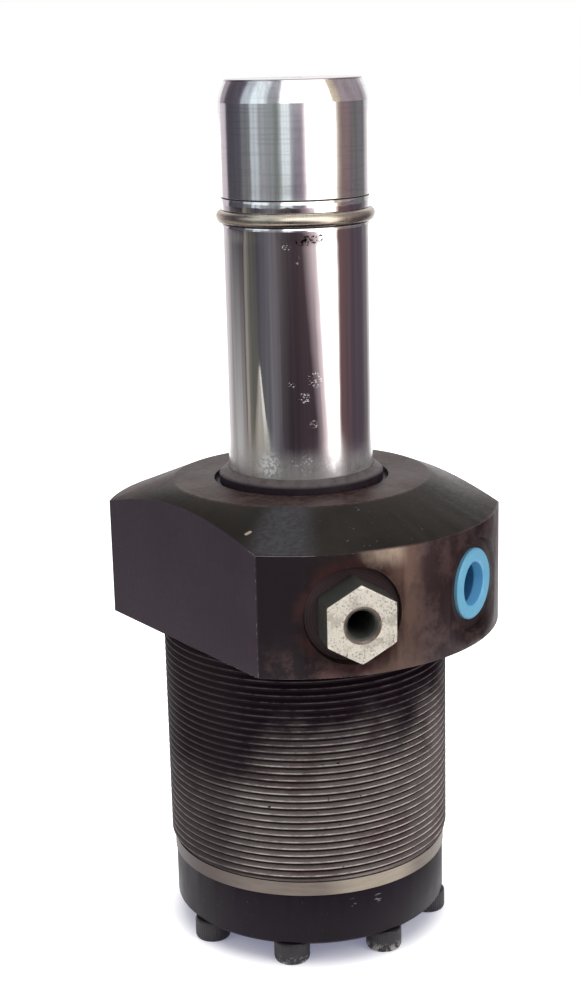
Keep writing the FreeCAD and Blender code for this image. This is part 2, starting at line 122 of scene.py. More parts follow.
# Ports
port_height = 12.8 * mm
port_face_radius = 10.3 * mm
hex_port = -22.5 * degree
hex_front = 49.7 * mm
hex_lip_radius = 4.05 * mm
hex_bore_radius = 3.3 * mm
plug_port = 22.5 * degree
plug_front = 42.5 * mm
plug_bore_radius = 4.71 * mm

# Cap screws
screw_count = 8
screw_circle_radius = 27.5 * mm
screw_head_radius = 3.96 * mm
screw_head_height = 4.83 * mm
screw_shank_radius = 2.413 * mm
screw_length = 22.2 * mm
screw_key_half_width = 1.985 * mm
screw_key_depth = 2.5 * mm
screw_key_point = 1.1 * mm
screw_key_chamfer = 0.15 * mm
screw_key_mouth = 1.2 * screw_key_half_width
screw_edge_round = 0.45 * mm
screw_neck = 0.2 * mm
screw_tip_chamfer = 0.5 * mm
knurl_teeth = 44
knurl_depth = 0.13 * mm
knurl_low_gap = 0.25 * mm
knurl_high_gap = 0.35 * mm

# Marks of wear, each at an azimuth and a height. The pits and specks have a reach, and the head's
# scuffs have a radius before the height
pit_places = [
    (-33 * degree, 85.1 * mm, 1.3 * mm),
    (-28 * degree, 85.2 * mm, 1.5 * mm),
    (-23 * degree, 85.4 * mm, 1.2 * mm),
    (-18 * degree, 85.7 * mm, 1.1 * mm),
]
speck_places = [
    (-36 * degree, 81.4 * mm, 1.5 * mm),
    (-43 * degree, 84.3 * mm, 1.5 * mm),
    (-41 * degree, 55.4 * mm, 1.4 * mm),
    (-32 * degree, 52.4 * mm, 1.8 * mm),
    (-24 * degree, 56.0 * mm, 2.4 * mm),
    (-26 * degree, 46.7 * mm, 1.4 * mm),
    (-34 * degree, 38.0 * mm, 4.0 * mm),
]
scuff_places = [
    (-53.7 * degree, 28.49 * mm, 37.1 * mm),
    (-53.3 * degree, 28.62 * mm, 36.8 * mm),
    (-52.9 * degree, 28.75 * mm, 36.5 * mm),
]
cap_scuff_places = [
    (-19.0 * degree, -57.1 * mm),
    (-7.2 * degree, -57.1 * mm),
]
# Place of a painted white reflection on the plunger, at an azimuth and a height
painted_white_reflection_place = (-62 * degree, 37.4 * mm)

# The camera of the photograph, worked out from the object's own sizes. Turn, tilt and roll in radians
camera_azimuth = -35.82 * degree
camera_distance = 378.19 * mm
camera_height = 124.75 * mm
camera_turn = 0.0069625
camera_tilt = 0.252304
camera_roll = -0.0241589
camera_lens = 63.83
camera_sensor = 36.0

# Studio. The cards stand round the axis in rows, between heights where the photograph's bands change
floor_half_width = 4.0
shadow_inner_radius = 27 * mm
shadow_outer_radius = 37 * mm
ambient_light = 0.5
card_distance = 160 * mm
cards_low = standing_height
cards_scribe = 80.8 * mm
cards_nose = 118 * mm
cards_top = 300 * mm
wedge_low = -6 * mm
wedge_high = 33 * mm
wedge_gap = 4 * mm

# Mesh work
merge_distance = 1e-7
weld_distance = 1e-6
flat_angle = 1 * degree
edge_angle = 30 * degree
quarter_turn = 90 * degree


def at(radius, azimuth, height=0.0):
    """A point at a distance from the axis. Azimuth 0 is -Y and a quarter turn is +X."""
    return Vector((radius * math.sin(azimuth), -radius * math.cos(azimuth), height))


# Mesh helpers


def placed(name, data):
    """A new object in the scene."""
    piece = bpy.data.objects.new(name, data)
    bpy.context.scene.collection.objects.link(piece)
    return piece


def shaped(name, mesh, change, crease=edge_angle):
    """A piece from a mesh that a function changes, smooth apart from edges sharper than the crease."""
    work = bmesh.new()
    work.from_mesh(mesh)
    bmesh.ops.remove_doubles(work, verts=work.verts, dist=merge_distance)
    change(work)
    work.to_mesh(mesh)
    work.free()
    mesh.polygons.foreach_set("use_smooth", [True] * len(mesh.polygons))
    mesh.set_sharp_from_angle(angle=crease)
    return placed(name, mesh)


def face_outward(work):
    """Drops faces without area and turns the others outward."""
    bmesh.ops.dissolve_degenerate(work, edges=work.edges, dist=merge_distance)
    bmesh.ops.recalc_face_normals(work, faces=work.faces)


def solid(name, points, faces, crease=edge_angle):
    """A closed piece from its points and faces."""
    mesh = bpy.data.meshes.new(name)
    mesh.from_pydata(points, [], faces)
    return shaped(name, mesh, face_outward, crease)


def skin(rings):
    """Faces between each ring of point numbers and the next. A ring of one point is a tip."""
    faces = []
    for first, second in zip(rings, rings[1:]):
        count = max(len(first), len(second))
        for i in range(count):
            sides = (i, (i + 1) % count)
            near_side = [first[k % len(first)] for k in sides]
            far_side = [second[k % len(second)] for k in sides[::-1]]
            faces.append(list(dict.fromkeys(near_side + far_side)))
    return faces


def turned(name, outline, steps, centre=Vector((0, 0, 0)), crease=edge_angle):
    """A solid turned about a vertical line. The outline's radii are numbers or functions of the turn."""
    points = []
    rings = []
    for radius, height in outline:
        count = 1 if radius == 0 else steps
        rings.append(list(range(len(points), len(points) + count)))
        for i in range(count):
            turn = 2 * math.pi * i / steps
            reach = radius(turn) if callable(radius) else radius
            points.append(centre + at(reach, turn, height))
    return solid(name, points, skin(rings), crease)


def arc(centre, radius, start, end, steps):
    """Outline points on an arc, with angles from the outward direction towards up."""
    turns = [start + (end - start) * i / steps for i in range(steps + 1)]
    return [(centre[0] + radius * math.cos(t), centre[1] + radius * math.sin(t)) for t in turns]


def soften(piece, width):
    """Rounds the edges of a piece and gives the rounded faces its second material."""
    weld = piece.modifiers.new("weld", "WELD")
    weld.merge_threshold = weld_distance
    flatten = piece.modifiers.new("flatten", "DECIMATE")
    flatten.decimate_type = "DISSOLVE"
    flatten.angle_limit = flat_angle
    bevel = piece.modifiers.new("edges", "BEVEL")
    bevel.width = width
    bevel.segments = 2
    bevel.limit_method = "ANGLE"
    bevel.angle_limit = edge_angle
    bevel.harden_normals = True
    bevel.material = 1


# Materials


class Nodes:
    """A node tree. Each method adds nodes and gives their output."""

    def __init__(self, tree):
        self.tree = tree

    def add(self, kind, **settings):
        node = self.tree.nodes.new(kind)
        for key, value in settings.items():
            setattr(node, key, value)
        return node

    def feed(self, socket, value):
        """Links a value from another node, or sets a number, a vector or a colour."""
        if isinstance(value, bpy.types.NodeSocket):
            self.tree.links.new(value, socket)
        elif isinstance(value, tuple) and len(value) == 3 and socket.type == "RGBA":
            socket.default_value = (*value, 1.0)
        else:
            socket.default_value = value

    def maths(self, operation, first, second=0.0):
        node = self.add("ShaderNodeMath", operation=operation)
        self.feed(node.inputs[0], first)
        self.feed(node.inputs[1], second)
        return node.outputs[0]

    def either(self, first, second):
        """The larger of two shares."""
        return self.maths("MAXIMUM", first, second)

    def both(self, first, *others):
        """The product of shares."""
        for other in others:
            first = self.maths("MULTIPLY", first, other)
        return first

    def opposite(self, share):
        """What a share leaves of 1."""
        return self.maths("SUBTRACT", 1.0, share)

    def apart(self, first, second):
        """Distance between two values."""
        return self.maths("ABSOLUTE", self.maths("SUBTRACT", first, second))

    def spread(self, value, low, high, bottom=0.0, top=1.0):
        """Maps low to bottom and high to top with a soft start and end."""
        node = self.add("ShaderNodeMapRange", interpolation_type="SMOOTHSTEP")
        for socket, number in zip(node.inputs[:5], (value, low, high, bottom, top)):
            self.feed(socket, number)
        return node.outputs[0]

    def looked_at(self):
        """1 for rays that come from the camera, straight, mirrored or through glass, and 0 for others."""
        rays = self.add("ShaderNodeLightPath").outputs
        share = self.either(rays["Is Camera Ray"], rays["Is Glossy Ray"])
        return self.either(share, rays["Is Transmission Ray"])


class Finish(Nodes):
    """The node tree of one material."""

    def __init__(self, name):
        self.material = bpy.data.materials.new(name)
        self.material.use_nodes = True
        super().__init__(self.material.node_tree)
        self.shader = self.tree.nodes["Principled BSDF"]
        self.place = self.add("ShaderNodeTexCoord").outputs["Object"]
        parts = self.add("ShaderNodeSeparateXYZ")
        self.feed(parts.inputs[0], self.place)
        self.x, self.y, self.z = parts.outputs

    def finished(self, values):
        """Sets or links the shader's inputs by their own names."""
        for name, value in values.items():
            self.feed(self.shader.inputs[name], value)
        return self.material

    def emitting(self, output):
        """Puts an output in the place of the shader."""
        self.tree.nodes.remove(self.shader)
        self.feed(self.tree.nodes["Material Output"].inputs["Surface"], output)
        return self.material

    def vector(self, operation, first, second=(0.0, 0.0, 0.0)):
        """The outputs of a vector operation, one a vector and one a number."""
        node = self.add("ShaderNodeVectorMath", operation=operation)
        self.feed(node.inputs[0], first)
        self.feed(node.inputs[1], second)
        return node.outputs

    def radius(self):
        """Distance from the axis."""
        flat = self.vector("MULTIPLY", self.place, (1.0, 1.0, 0.0))["Vector"]
        return self.vector("LENGTH", flat)["Value"]

    def along(self, azimuth):
        """Distance from the axis, measured towards an azimuth."""
        return self.vector("DOT_PRODUCT", self.place, at(1.0, azimuth))["Value"]

    def near(self, azimuth, tightness):
        """1 where the surface faces an azimuth seen from the axis, falling off to the sides."""
        share = self.maths("DIVIDE", self.along(azimuth), self.radius())
        return self.spread(share, math.cos(tightness), 1.0)

    def spot(self, centre, inner, outer):
        """1 within the inner distance of a point, falling off to 0 at the outer distance."""
        return self.spread(self.vector("DISTANCE", self.place, centre)["Value"], outer, inner)

    def from_port(self, azimuth):
        """Distance from the axis of a port."""
        moved = self.vector("SUBTRACT", self.place, (0.0, 0.0, port_height))["Vector"]
        along = self.vector("PROJECT", moved, at(1.0, azimuth))["Vector"]
        return self.vector("DISTANCE", moved, along)["Value"]

    def noise(self, scale, detail=3.0, roughness=0.55, stretch=(1.0, 1.0, 1.0)):
        moved = self.add("ShaderNodeMapping")
        self.feed(moved.inputs["Vector"], self.place)
        moved.inputs["Scale"].default_value = stretch
        node = self.add("ShaderNodeTexNoise")
        self.feed(node.inputs["Vector"], moved.outputs[0])
        node.inputs["Scale"].default_value = scale
        node.inputs["Detail"].default_value = detail
        node.inputs["Roughness"].default_value = roughness
        return node.outputs["Fac"]

    def rings(self, distance, spacing):
        """Fine uneven rings that follow a distance."""
        shaken = self.maths("ADD", distance, self.maths("MULTIPLY", self.noise(300.0), 0.2 * spacing))
        wave = self.maths("SINE", self.maths("MULTIPLY", shaken, 2 * math.pi / spacing))
        return self.spread(wave, -1.0, 1.0)

    def blend(self, share, first, second):
        """The first colour where the share is 0 and the second where it is 1."""
        node = self.add("ShaderNodeMix", data_type="RGBA")
        self.feed(node.inputs[0], share)
        self.feed(node.inputs[6], first)
        self.feed(node.inputs[7], second)
        return node.outputs[2]

    def bump(self, height, distance, under=None):
        """A normal that follows heights, on top of another one if that is given."""
        node = self.add("ShaderNodeBump")
        self.feed(node.inputs["Height"], height)
        node.inputs["Distance"].default_value = distance
        if under is not None:
            self.feed(node.inputs["Normal"], under)
        return node.outputs[0]


def black_oxide():
    """The head: blackened steel, purple on the flats, olive on the cone and brown where it was rubbed, with
    painted highlights on its side and on the cone.
    """
    f = Finish("black_oxide")
    cloud = f.spread(f.noise(42.0, 5.0, 0.6), 0.35, 0.65)
    grain = f.noise(950.0, 4.0, 0.65)
    blots = f.spread(f.noise(150.0, 5.0, 0.65), 0.44, 0.66)
    right = f.spread(f.x, -27.0 * mm, -14.0 * mm)
    side = f.both(f.spread(f.radius(), head_radius - 2.5 * mm, head_radius - 2.2 * mm),
                  f.spread(f.z, rim_height + 0.3 * mm, rim_height - 0.1 * mm))

    shade = f.blend(cloud, (0.0150, 0.0125, 0.0100), (0.0230, 0.0190, 0.0160))
    shade = f.blend(f.both(side, f.opposite(right)), shade, (0.022, 0.0155, 0.0195))
    flat = f.spread(f.maths("ABSOLUTE", f.x), flat_distance - 0.27 * mm, flat_distance - 0.07 * mm)
    shade = f.blend(flat, shade, f.blend(cloud, (0.038, 0.024, 0.038), (0.048, 0.033, 0.047)))

    brown = f.blend(blots, (0.038, 0.022, 0.024), (0.090, 0.056, 0.054))
    shade = f.blend(f.both(side, right), shade, brown)
    streaks = f.spread(f.noise(260.0, 5.0, 0.65, (1.0, 1.0, 0.45)), 0.30, 0.62, 0.45, 1.0)
    # Painted highlight: a lighter copper band down the side, where a lamp's reflection falls.
    painted_copper_highlight = f.both(side, f.near(-9.5 * degree, 9 * degree), streaks)
    shade = f.blend(painted_copper_highlight, shade, (0.125, 0.076, 0.060))
    # Painted highlight: a peach patch at the top of the copper band.
    painted_peach_highlight = f.both(side, f.near(-14 * degree, 8 * degree), streaks,
                   f.spread(f.z, 21.0 * mm, 24.5 * mm))
    shade = f.blend(painted_peach_highlight, shade, (0.400, 0.310, 0.240))
    low = f.both(side, blots, f.spread(f.z, 9.0 * mm, 2.0 * mm), f.near(-28 * degree, 30 * degree))
    shade = f.blend(low, shade, (0.110, 0.062, 0.058))
    front = f.spread(f.y, 0.0, -5.0 * mm)
    for azimuth in (hex_port, plug_port):
        away = f.from_port(azimuth)
        halo = f.both(side, front, f.spread(f.x, 0.0, -12.0 * mm),
                      f.spread(f.noise(230.0, 4.0), 0.35, 0.60),
                      f.spread(away, port_face_radius + 3.2 * mm, port_face_radius + 0.1 * mm))
        shade = f.blend(halo, shade, (0.058, 0.026, 0.025))
        face = f.spread(away, port_face_radius, port_face_radius - 0.2 * mm)
        marks = f.blend(f.rings(away, 0.6 * mm), (0.064, 0.042, 0.044), (0.078, 0.054, 0.056))
        marks = f.blend(f.spread(away, port_face_radius - 0.5 * mm, port_face_radius - 0.2 * mm), marks,
                        (0.022, 0.014, 0.015))
        shade = f.blend(f.both(face, front), shade, marks)
    # Painted reflection: a pale strip down the side near its right edge.
    painted_edge_reflection = f.both(side, front, streaks, f.spread(f.x, 20.0 * mm, 27.0 * mm))
    shade = f.blend(painted_edge_reflection, shade, (0.240, 0.215, 0.220))

    behind = f.opposite(f.near(camera_azimuth, 118 * degree))
    worn = f.both(f.spread(f.z, rim_height + 0.1 * mm, rim_height + 0.5 * mm), f.spread(behind, 0.45, 0.95),
                  f.opposite(flat))
    top = f.spread(f.z, head_top - 0.25 * mm, head_top - 0.05 * mm)
    mottle = f.both(f.maths("ADD", grain, f.noise(330.0, 5.0, 0.7)), 0.5)
    rubbed = f.blend(f.spread(mottle, 0.40, 0.60), (0.030, 0.014, 0.013), (0.076, 0.046, 0.042))
    shade = f.blend(f.either(worn, top), shade, rubbed)
    # Painted reflection: a grey gleam on the cone by the rim, on the side that faces the camera.
    shine = f.near(-42 * degree, 14 * degree)
    gleam = f.both(f.spread(f.z, rim_height - 0.1 * mm, rim_height + 0.3 * mm),
                   f.spread(f.radius(), crown_radius - 1.3 * mm, crown_radius + 1.2 * mm),
                   shine, shine, f.spread(grain, 0.30, 0.70, 0.45, 0.9))
    shade = f.blend(gleam, shade, (0.070, 0.068, 0.076))
    for azimuth, height, radius in scuff_places:
        scuff = f.spot(at(radius, azimuth, height), 0.34 * mm, 0.48 * mm)
        shade = f.blend(scuff, shade, (0.42, 0.33, 0.26))
    specks = f.both(f.spread(grain, 0.66, 0.74), f.either(right, top))
    shade = f.blend(specks, shade, (0.16, 0.13, 0.12))
    brushed = f.noise(800.0, 3.0, 0.6, (1.0, 1.0, 0.12))
    return f.finished({
        "Base Color": shade,
        "Roughness": f.spread(f.maths("ADD", grain, f.both(cloud, 0.3)), 0.3, 1.0, 0.30, 0.50),
        "Metallic": f.both(side, right, 0.45),
        "Specular IOR Level": 0.10,
        "Normal": f.bump(f.maths("ADD", grain, brushed), 0.018 * mm),
    })


def worn_edge():
    """Rounded edges of the head, where the black has rubbed off, most of all on the rim over the corner."""
    f = Finish("worn_edge")
    chips = f.noise(900.0, 5.0, 0.7)
    rim = f.both(f.near(-41 * degree, 10 * degree),
                 f.spread(f.z, rim_height - 0.9 * mm, rim_height - 0.3 * mm),
                 f.spread(f.z, rim_height + 0.7 * mm, rim_height + 0.3 * mm))
    corner = f.near(-48.7 * degree, 3.5 * degree)
    lower = f.both(f.spread(f.z, 1.5 * mm, 0.5 * mm), f.near(-45 * degree, 40 * degree))
    wear = f.either(f.both(rim, 1.5), f.both(lower, 0.45))
    wear = f.either(wear, f.both(corner, 0.15))
    bare = f.spread(f.maths("ADD", chips, f.both(wear, 0.35)), 0.58, 0.72)
    bare = f.either(bare, f.both(rim, 0.9))
    dull = f.blend(f.spread(f.x, -22.0 * mm, 0.0), (0.034, 0.027, 0.030), (0.095, 0.080, 0.078))
    return f.finished({
        "Base Color": f.blend(bare, dull, (0.95, 0.93, 0.90)),
        "Metallic": f.both(rim, 0.8),
        "Roughness": 0.42,
        "Specular IOR Level": 0.35,
    })


def barrel_steel():
    """The threaded barrel: purple-black under the head, worn to grey-brown steel lower down, with painted
    shade in the thread's roots and at its sides, and painted light on the band.
    """
    f = Finish("barrel_steel")
    patches = f.noise(40.0, 5.0, 0.6)
    drop = f.maths("ADD", f.z, f.spread(patches, 0.3, 0.7, -6.0 * mm, 6.0 * mm))
    left = f.near(camera_azimuth - 66 * degree, 58 * degree)
    drop = f.maths("ADD", drop, f.both(left, 15.0 * mm))
    worn = f.spread(drop, -12.0 * mm, -27.0 * mm)
    fine = f.noise(1300.0, 4.0, 0.65)
    rust = f.spread(f.noise(85.0, 4.0), 0.50, 0.68)
    steel = f.blend(fine, (0.175, 0.147, 0.143), (0.320, 0.278, 0.270))
    steel = f.blend(f.both(rust, 0.6), steel, (0.150, 0.095, 0.090))
    black = f.blend(fine, (0.013, 0.005, 0.012), (0.028, 0.013, 0.022))
    shade = f.blend(worn, black, steel)
    # Painted shade in the thread's roots.
    painted_root_shade = f.spread(f.radius(), thread_radius - 0.80 * thread_depth, thread_radius - 0.97 * thread_depth)
    painted_root_shade = f.both(painted_root_shade, f.spread(f.z, band_top, band_top + 0.1 * mm))
    shade = f.blend(painted_root_shade, shade, (0.024, 0.019, 0.020))
    crest = f.spread(f.radius(), thread_radius - 0.16 * mm, thread_radius - 0.03 * mm)
    chipped = f.both(crest, f.spread(f.noise(350.0, 4.0, 0.65), 0.32, 0.62),
                     f.spread(worn, 0.0, 1.0, 0.14, 0.9))
    shade = f.blend(chipped, shade, (0.56, 0.50, 0.475))
    specks = f.both(f.spread(f.noise(520.0, 3.0, 0.6), 0.70, 0.74), worn)
    shade = f.blend(specks, shade, (0.010, 0.008, 0.008))
    # Painted shade: darker towards the barrel's left and right edges.
    middle = f.near(-14 * degree, 72 * degree)
    sides = f.opposite(middle)
    shade = f.blend(f.spread(sides, 0.20, 0.90, 0.0, 0.72), shade, (0.040, 0.028, 0.032))
    band = f.spread(f.z, band_top + 0.1 * mm, band_top)
    lines = f.noise(500.0, 4.0, 0.6, (0.3, 0.3, 2.0))
    plain = f.blend(lines, (0.120, 0.100, 0.088), (0.235, 0.200, 0.176))
    # Painted highlight on the band's middle and painted shade on its left.
    bright = f.blend(lines, (0.23, 0.195, 0.16), (0.40, 0.35, 0.29))
    plain = f.blend(f.near(-8 * degree, 24 * degree), plain, bright)
    plain = f.blend(f.near(-105 * degree, 50 * degree), plain, (0.085, 0.068, 0.068))
    shade = f.blend(band, shade, plain)
    return f.finished({
        "Base Color": shade,
        "Metallic": f.either(f.both(f.spread(worn, 0.0, 1.0, 0.10, 0.60), middle), band),
        "Roughness": 0.46,
        "Specular IOR Level": 0.12,
        "Normal": f.bump(fine, 0.03 * mm),
    })


def pitted(f, places):
    """1 on the plunger round each of the places, as far as their reach."""
    share = 0.0
    for azimuth, height, reach in places:
        share = f.maths("ADD", share, f.spot(at(rod_radius, azimuth, height), 0.3 * reach, reach))
    return f.spread(share, 0.2, 0.6)


def chrome():
    """The plunger: hard chrome, mirror bright on the shaft and finely turned on the nose, with painted
    reflections near its foot and dirt and painted shade in the groove and scribed line.
    """
    f = Finish("chrome")
    nose = f.spread(f.z, scribe_height, scribe_height + 0.2 * mm)
    lines = f.noise(2600.0, 3.0, 0.6, (0.02, 0.02, 1.0))
    haze = f.noise(70.0, 4.0, 0.6, (1.0, 1.0, 0.3))
    dull = f.spread(f.z, 50.0 * mm, 36.0 * mm)
    shaft_rough = f.maths("ADD", f.spread(haze, 0.40, 0.75, 0.035, 0.09), f.both(dull, 0.20))
    rough = f.maths("ADD", shaft_rough, f.both(nose, 0.09))
    coarse = f.spread(f.noise(1100.0, 4.0, 0.65), 0.48, 0.54)
    sparse = f.spread(f.noise(2500.0, 3.0, 0.6), 0.56, 0.64)
    dark_pits = f.both(coarse, pitted(f, pit_places))
    light_pits = f.both(sparse, pitted(f, speck_places), f.spread(f.noise(420.0, 3.0), 0.44, 0.60))
    off_ring = f.apart(f.z, ring_height)
    groove = f.both(f.spread(f.radius(), rod_radius - 0.12 * mm, rod_radius - 0.3 * mm),
                    f.spread(off_ring, 1.6 * mm, 1.4 * mm))
    line = f.spread(f.apart(f.z, scribe_height), 0.24 * mm, 0.12 * mm)
    # Dirt and painted shade: dark in the ring's groove and along the scribed line.
    dirt_and_crease_shade = f.either(groove, line)
    streaks = f.noise(420.0, 4.0, 0.7, (1.0, 1.0, 0.012))
    turning = f.noise(2200.0, 3.0, 0.6, (0.03, 0.03, 1.0))
    shade = f.blend(f.spread(streaks, 0.30, 0.62), (0.60, 0.59, 0.60), (0.85, 0.84, 0.85))
    shade = f.blend(f.both(nose, f.spread(turning, 0.50, 0.64, 0.0, 0.30)), shade, (0.55, 0.52, 0.54))
    end_edge = f.both(f.spread(f.z, nose_top - 0.45 * mm, nose_top - 0.25 * mm),
                      f.spread(f.radius(), end_rim_radius - 0.6 * mm, end_rim_radius))
    shade = f.blend(end_edge, shade, (0.42, 0.37, 0.39))
    # Painted reflection of the head's top: a brownish matt band near the plunger's foot.
    painted_head_reflection = f.both(f.spread(f.z, 42.0 * mm, 35.5 * mm),
                  f.spread(f.noise(330.0, 5.0, 0.7), 0.30, 0.62, 0.3, 1.0))
    # Painted reflection: a pale matt patch near the foot.
    painted_white_reflection = f.both(f.spot(at(rod_radius, *painted_white_reflection_place), 0.8 * mm, 4.5 * mm),
                        f.spread(f.noise(1500.0, 3.0, 0.6), 0.40, 0.56))
    shade = f.blend(f.both(painted_head_reflection, 0.75), shade, (0.31, 0.29, 0.285))
    shade = f.blend(painted_white_reflection, shade, (0.74, 0.76, 0.76))
    shade = f.blend(dark_pits, shade, (0.03, 0.02, 0.02))
    shade = f.blend(dirt_and_crease_shade, shade, (0.030, 0.022, 0.020))
    matt = f.either(f.both(painted_head_reflection, 0.6), f.both(painted_white_reflection, 0.8))
    turned_marks = f.bump(f.both(lines, f.spread(nose, 0.0, 1.0, 0.12, 1.0)), 0.003 * mm)
    near_ring = f.spread(off_ring, 6.0 * mm, 1.5 * mm)
    waves = f.both(f.noise(110.0, 2.0, 0.5, (1.0, 1.0, 0.6)), f.spread(near_ring, 0.0, 1.0, 0.20, 1.0))
    rough = f.either(rough, f.both(light_pits, 0.35))
    return f.finished({
        "Base Color": shade,
        "Metallic": f.opposite(f.either(f.both(dirt_and_crease_shade, 0.8), matt)),
        "Roughness": f.maths("ADD", rough, f.both(dirt_and_crease_shade, 0.4)),
        "Normal": f.bump(waves, 0.30 * mm, f.bump(light_pits, 0.02 * mm, turned_marks)),
    })


def ring_wire():
    """The wire ring: dull olive-brass spring steel, with painted shade on its underside."""
    f = Finish("ring_wire")
    patches = f.noise(300.0, 4.0, 0.6)
    brass = f.blend(patches, (0.38, 0.335, 0.275), (0.66, 0.60, 0.51))
    # Painted shade on the ring's underside.
    under = f.spread(f.z, ring_height - 0.35 * mm, ring_height - 0.95 * mm)
    return f.finished({
        "Base Color": f.blend(under, brass, (0.085, 0.060, 0.052)),
        "Metallic": 1.0,
        "Roughness": f.spread(patches, 0.3, 0.7, 0.24, 0.34),
    })


def black_rubber():
    """Wiper and seals: matt black rubber, with a painted grey sheen on the wiper's lip."""
    f = Finish("black_rubber")
    fine = f.noise(1200.0, 3.0, 0.6)
    # Painted sheen: the wiper's lip is lighter grey towards its top.
    lip = f.both(f.spread(f.z, head_top + 1.1 * mm, head_top + 1.7 * mm),
                 f.spread(f.noise(500.0, 4.0), 0.3, 0.6, 0.6, 1.0))
    rubber = f.blend(fine, (0.013, 0.008, 0.013), (0.032, 0.022, 0.031))
    return f.finished({
        "Base Color": f.blend(lip, rubber, (0.125, 0.105, 0.105)),
        "Roughness": f.spread(fine, 0.3, 0.7, 0.40, 0.60),
        "Specular IOR Level": 0.25,
        "Normal": f.bump(fine, 0.03 * mm),
    })


def zinc_plate():
    """The hexagon adapter: cream zinc plate with fine dark specks, with painted shade on its flanks and in
    its bore.
    """
    f = Finish("zinc_plate")
    cloud = f.spread(f.noise(260.0, 4.0, 0.6), 0.35, 0.65)
    specks = f.both(f.spread(f.noise(2100.0, 4.0, 0.7), 0.52, 0.62), f.spread(cloud, 0.0, 1.0, 0.35, 1.0))
    away = f.from_port(hex_port)
    base = f.blend(cloud, (0.98, 0.91, 0.78), (0.87, 0.81, 0.73))
    base = f.blend(specks, base, (0.24, 0.20, 0.15))
    lip = f.spread(away, hex_lip_radius, hex_lip_radius - 0.2 * mm)
    base = f.blend(lip, base, (0.15, 0.11, 0.085))
    # Painted shade: the bore is near black inside.
    bore = f.spread(away, hex_bore_radius, hex_bore_radius - 0.3 * mm)
    base = f.blend(bore, base, (0.012, 0.009, 0.008))
    stains = f.spread(f.noise(330.0, 4.0, 0.6), 0.50, 0.66)
    base = f.blend(f.both(stains, 0.5), base, (0.34, 0.30, 0.24))
    # Painted shade on the hexagon's flanks.
    painted_flank_shade = f.spread(f.along(hex_port), hex_front - 0.35 * mm, hex_front - 0.5 * mm)
    base = f.blend(painted_flank_shade, base, (0.062, 0.066, 0.058))
    return f.finished({
        "Base Color": base,
        "Metallic": f.spread(bore, 0.0, 1.0, 0.18, 0.0),
        "Roughness": f.spread(specks, 0.0, 1.0, 0.38, 0.55),
        "Normal": f.bump(specks, -0.02 * mm),
    })


def blue_plastic():
    """The shipping plug: soft, slightly cloudy blue plastic, with painted shade deep in its recess."""
    f = Finish("blue_plastic")
    cloud = f.noise(200.0, 3.0)
    fine = f.noise(1600.0, 3.0, 0.6)
    recess = f.spread(f.from_port(plug_port), plug_bore_radius + 0.25 * mm, plug_bore_radius + 0.05 * mm)
    # Painted shade: darker deeper in the recess.
    deep = f.spread(f.along(plug_port), plug_front - 2.2 * mm, plug_front - 2.7 * mm)
    inside = f.blend(deep, (0.170, 0.52, 0.86), (0.028, 0.125, 0.27))
    return f.finished({
        "Base Color": f.blend(recess, f.blend(cloud, (0.15, 0.48, 0.72), (0.22, 0.57, 0.80)), inside),
        "Roughness": f.spread(fine, 0.3, 0.7, 0.34, 0.46),
        "Subsurface Weight": 0.15,
        "Subsurface Scale": 0.6 * mm,
        "Normal": f.bump(fine, 0.01 * mm),
    })


def cap_black():
    """The end cap: smooth blackened steel with a purple cast and a few bright scuffs."""
    f = Finish("cap_black")
    patches = f.spread(f.noise(60.0, 4.0), 0.35, 0.65)
    fine = f.noise(1100.0, 4.0, 0.6)
    black = f.blend(patches, (0.0070, 0.0035, 0.0080), (0.0125, 0.0070, 0.0140))
    chips = f.spread(f.noise(900.0, 5.0, 0.7, (0.5, 0.5, 2.0)), 0.53, 0.60)
    for azimuth, height in cap_scuff_places:
        place = f.spot(at(cap_radius, azimuth, height), 0.4 * mm, 1.3 * mm)
        black = f.blend(f.both(chips, place), black, (0.30, 0.28, 0.34))
    dust = f.spread(f.noise(1700.0, 3.0, 0.6), 0.68, 0.76)
    return f.finished({
        "Base Color": f.blend(dust, black, (0.09, 0.08, 0.09)),
        "Roughness": f.spread(patches, 0.0, 1.0, 0.40, 0.50),
        "Specular IOR Level": 0.14,
        "Normal": f.bump(fine, 0.015 * mm),
    })


def screw_black():
    """Cap screws: black, chipped bright towards the floor on the side of the camera."""
    f = Finish("screw_black")
    fine = f.noise(1300.0, 4.0, 0.65)
    low = f.spread(f.z, standing_height + 2.8 * mm, standing_height + 0.3 * mm)
    chips = f.maths("ADD", f.noise(700.0, 5.0, 0.7), f.both(f.near(0.0, 14 * degree), 0.08))
    bare = f.both(f.spread(chips, 0.54, 0.64), low, f.near(-15 * degree, 65 * degree))
    base = f.blend(fine, (0.018, 0.015, 0.021), (0.046, 0.040, 0.048))
    return f.finished({
        "Base Color": f.blend(bare, base, (0.42, 0.40, 0.38)),
        "Metallic": f.both(bare, 0.6),
        "Roughness": 0.42,
        "Specular IOR Level": 0.35,
        "Normal": f.bump(fine, 0.02 * mm),
    })


def bare_metal(name, dark, light, roughness):
    """Turned inner pieces of bare metal."""
    f = Finish(name)
    lines = f.noise(1500.0, 3.0, 0.6, (0.05, 0.05, 1.0))
    return f.finished({
        "Base Color": f.blend(lines, dark, light),
        "Metallic": 1.0,
        "Roughness": roughness,
        "Normal": f.bump(lines, 0.005 * mm),
    })


def slipper_plastic():
    """The bearing and back-up strips: smooth filled plastic."""
    f = Finish("slipper_plastic")
    fine = f.noise(800.0, 3.0)
    return f.finished({
        "Base Color": f.blend(fine, (0.18, 0.22, 0.14), (0.26, 0.30, 0.20)),
        "Roughness": 0.45,
        "Normal": f.bump(fine, 0.01 * mm),
    })


